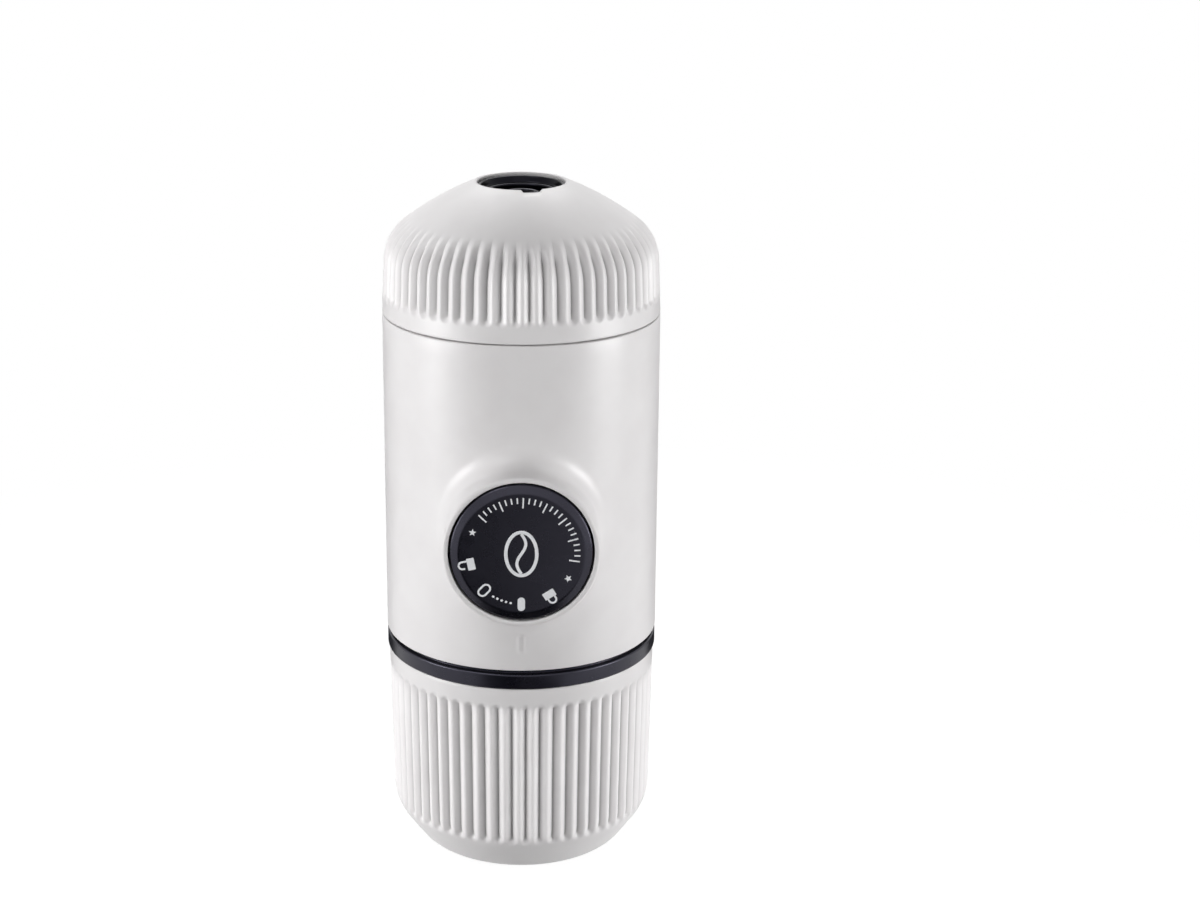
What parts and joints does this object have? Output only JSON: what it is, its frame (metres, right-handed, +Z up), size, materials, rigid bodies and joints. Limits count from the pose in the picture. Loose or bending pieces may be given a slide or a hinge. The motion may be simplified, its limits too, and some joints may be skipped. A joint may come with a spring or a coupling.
{
  "type": "handheld manual espresso maker",
  "caption": "Round hand-held espresso pump: fluted cup over a water tank, smooth body with a side piston knob, and a fluted screw-on head with basket and outlet.",
  "frame": {"origin": "centre of the cup's flat base, on the body's axis", "axes": "+Z up the body's axis towards the outlet head, the piston knob faces -Y"},
  "size_m": [0.062, 0.071, 0.156],
  "materials": {
    "white_shell": "satin white moulded plastic",
    "black_knob": "smooth black moulded plastic",
    "black_tank": "satin blue-black moulded plastic",
    "inner_plastic": "dark moulded plastic",
    "grey_plastic": "grey moulded plastic",
    "silicone": "grey silicone",
    "steel": "stainless steel",
    "brass": "turned brass"
  },
  "bodies": {
    "main": {"body_shell": "white_shell", "core_frame": "grey_plastic", "frame_screws": "steel", "tank_socket": "inner_plastic", "intake_strainer": "grey_plastic", "air_valve": "silicone", "pump_block": "grey_plastic", "outlet_spring": "steel", "relief_spring": "steel", "relief_cap": "brass", "piston_guide": "inner_plastic", "rod_bush": "brass", "return_spring": "steel", "brew_neck": "inner_plastic", "shower_screen": "steel", "chamber_gasket": "silicone"},
    "piston": {"piston_rod": "steel", "piston_head": "brass", "piston_rings": "silicone"},
    "knob": {"piston_knob": "black_knob", "knob_pins": "steel"},
    "intake_poppet": {"intake_valve": "silicone"},
    "outlet_poppet": {"outlet_valve": "silicone"},
    "relief": {"relief_ball": "steel"},
    "head_seal": {"head_gasket": "silicone"},
    "head": {"head_shell": "white_shell", "head_core": "inner_plastic", "outlet_filter": "steel", "outlet_spout": "black_knob"},
    "basket": {"filter_basket": "inner_plastic", "basket_screen": "steel"},
    "scoop": {"coffee_scoop": "inner_plastic"},
    "tank_seal": {"tank_gasket": "silicone"},
    "tank": {"water_tank": "black_tank", "cup_seal": "silicone"},
    "cup_body": {"cup": "white_shell"}
  },
  "joints": [
    {"name": "piston_stroke", "type": "slide", "parent": "main", "child": "piston", "axis": [0, -1, 0], "range_m": [0, 0.015], "deforming": ["return_spring"]},
    {"name": "knob_turn", "type": "hinge", "parent": "piston", "child": "knob", "pos_m": [0, 0, 0.0835], "axis": [0, -1, 0], "range_deg": [0, 44]},
    {"name": "intake_valve_lift", "type": "slide", "parent": "main", "child": "intake_poppet", "axis": [0, 0, 1], "range_m": [0, 0.0012]},
    {"name": "outlet_valve_lift", "type": "slide", "parent": "main", "child": "outlet_poppet", "axis": [0, 0, 1], "range_m": [0, 0.0012], "stiffness_N_per_m": 20, "springref_m": -0.002, "deforming": ["outlet_spring"]},
    {"name": "relief_ball_lift", "type": "slide", "parent": "main", "child": "relief", "axis": [0, 0, 1], "range_m": [0, 0.0008], "stiffness_N_per_m": 20, "springref_m": -0.003, "deforming": ["relief_spring"]},
    {"name": "head_lift", "type": "slide", "parent": "main", "child": "head_seal", "axis": [0, 0, 1], "range_m": [0, 0.06]},
    {"name": "head_turn", "type": "hinge", "parent": "head_seal", "child": "head", "pos_m": [0, 0, 0.1269], "axis": [0, 0, 1], "range_deg": [0, 360]},
    {"name": "basket_lift", "type": "slide", "parent": "main", "child": "basket", "axis": [0, 0, 1], "range_m": [0, 0.024]},
    {"name": "scoop_lift", "type": "slide", "parent": "main", "child": "scoop", "axis": [0, 0, 1], "range_m": [0, 0.045]},
    {"name": "tank_drop", "type": "slide", "parent": "main", "child": "tank_seal", "axis": [0, 0, -1], "range_m": [0, 0.02]},
    {"name": "tank_turn", "type": "hinge", "parent": "tank_seal", "child": "tank", "pos_m": [0, 0, 0.0527], "axis": [0, 0, -1], "range_deg": [0, 360]},
    {"name": "cup_pull", "type": "slide", "parent": "tank", "child": "cup_body", "axis": [0, 0, -1], "range_m": [0, 0.055]}
  ],
  "couplings": [
    {"joint": "basket_lift", "follows": "head_lift", "ratio": 0.4},
    {"joint": "scoop_lift", "follows": "head_lift", "ratio": 0.75}
  ]
}
